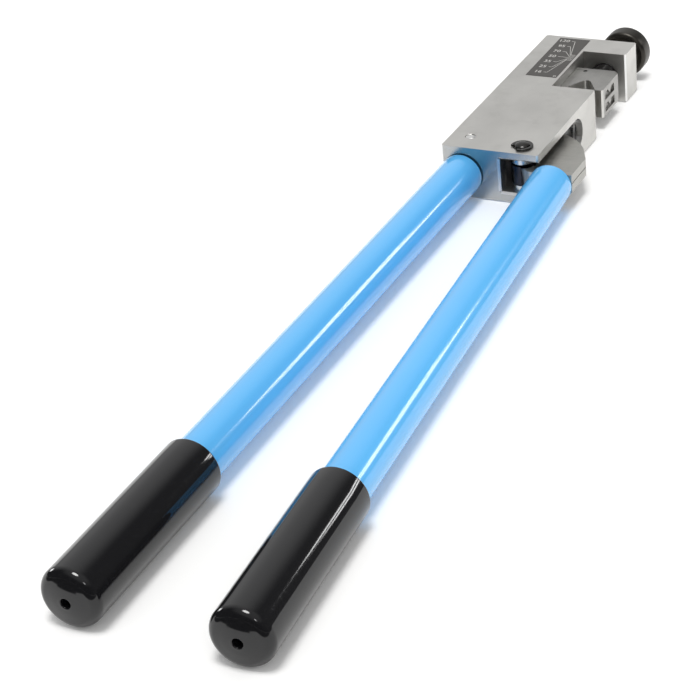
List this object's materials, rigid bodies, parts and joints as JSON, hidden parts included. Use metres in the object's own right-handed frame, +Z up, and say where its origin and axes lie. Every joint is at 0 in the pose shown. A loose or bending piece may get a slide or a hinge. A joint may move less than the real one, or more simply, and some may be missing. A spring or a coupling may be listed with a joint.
{
  "type": "crimping tool",
  "caption": "Long-arm crimping tool with a steel block head, an open side jaw with a V-die set by a rear knob, a cam-driven ram, and two tubular handles with dipped grips.",
  "frame": {"origin": "centre of the head block's underside, on the surface the tool lies on", "axes": "+Y along the head away from the handles, +X towards the open side of the jaw, +Z up from the surface the tool lies on"},
  "size_m": [0.1216, 0.661, 0.0376],
  "materials": {
    "ground_steel": "ground and nickel plated, satin",
    "die_steel": "hardened steel, satin grey",
    "lever_steel": "ground steel plate, satin",
    "tool_steel": "turned tool steel, oiled",
    "bright_steel": "turned, bright",
    "spring_steel": "drawn wire, oiled",
    "black_oxide": "black oxide, oiled",
    "bronze": "turned bearing bronze",
    "blue_paint": "gloss powder coat",
    "black_vinyl": "dipped PVC, glossy",
    "knob_black": "satin black",
    "scale_black": "anodised plate, matt"
  },
  "bodies": {
    "head": {"head_block": "ground_steel", "scale_plate": "scale_black", "guide_key": "tool_steel", "ram_bush": "bronze", "pivot_pin": "black_oxide", "pivot_clip": "black_oxide", "upper_spacer": "bright_steel", "lower_spacer": "bright_steel", "handle_cross_pin": "bright_steel", "detent_ball": "bright_steel", "detent_spring": "spring_steel", "detent_screw": "black_oxide", "fixed_stem": "black_oxide", "fixed_tube": "blue_paint", "fixed_grip": "black_vinyl", "return_spring": "spring_steel"},
    "lever": {"lever_plate_upper": "lever_steel", "lever_plate_lower": "lever_steel", "lever_rivets": "lever_steel", "handle_plug": "tool_steel", "tang_pins": "tool_steel", "moving_tube": "blue_paint", "moving_grip": "black_vinyl"},
    "ram": {"ram": "tool_steel", "punch": "tool_steel", "punch_pin": "tool_steel", "spring_seat": "bright_steel", "roller_pin": "tool_steel"},
    "roller": {"ram_roller": "bright_steel"},
    "die": {"v_die": "die_steel", "retaining_pin": "black_oxide"},
    "adjuster": {"adjusting_screw": "black_oxide", "knob": "knob_black", "knob_pin": "black_oxide"}
  },
  "joints": [
    {"name": "lever_swing", "type": "hinge", "parent": "head", "child": "lever", "pos_m": [0.018, -0.08, 0.0181], "axis": [0, 0, 1], "range_deg": [0, 50]},
    {"name": "ram_slide", "type": "slide", "parent": "head", "child": "ram", "axis": [0, 1, 0], "range_m": [-0.0081, 0], "deforming": ["return_spring"]},
    {"name": "roller_spin", "type": "hinge", "parent": "ram", "child": "roller", "pos_m": [0.0167, -0.026, 0.0181], "axis": [0, 0, 1], "continuous": true},
    {"name": "die_slide", "type": "slide", "parent": "head", "child": "die", "axis": [0, 1, 0], "range_m": [-0.0015, 0.0075]},
    {"name": "knob_turn", "type": "hinge", "parent": "die", "child": "adjuster", "pos_m": [0.0167, 0.11, 0.0181], "axis": [0, 1, 0], "range_deg": [-361, 1801]}
  ],
  "couplings": [
    {"joint": "ram_slide", "follows": "lever_swing", "m_per_rad": -0.0091673},
    {"joint": "knob_turn", "follows": "die_slide", "rad_per_m": 4188.8}
  ]
}
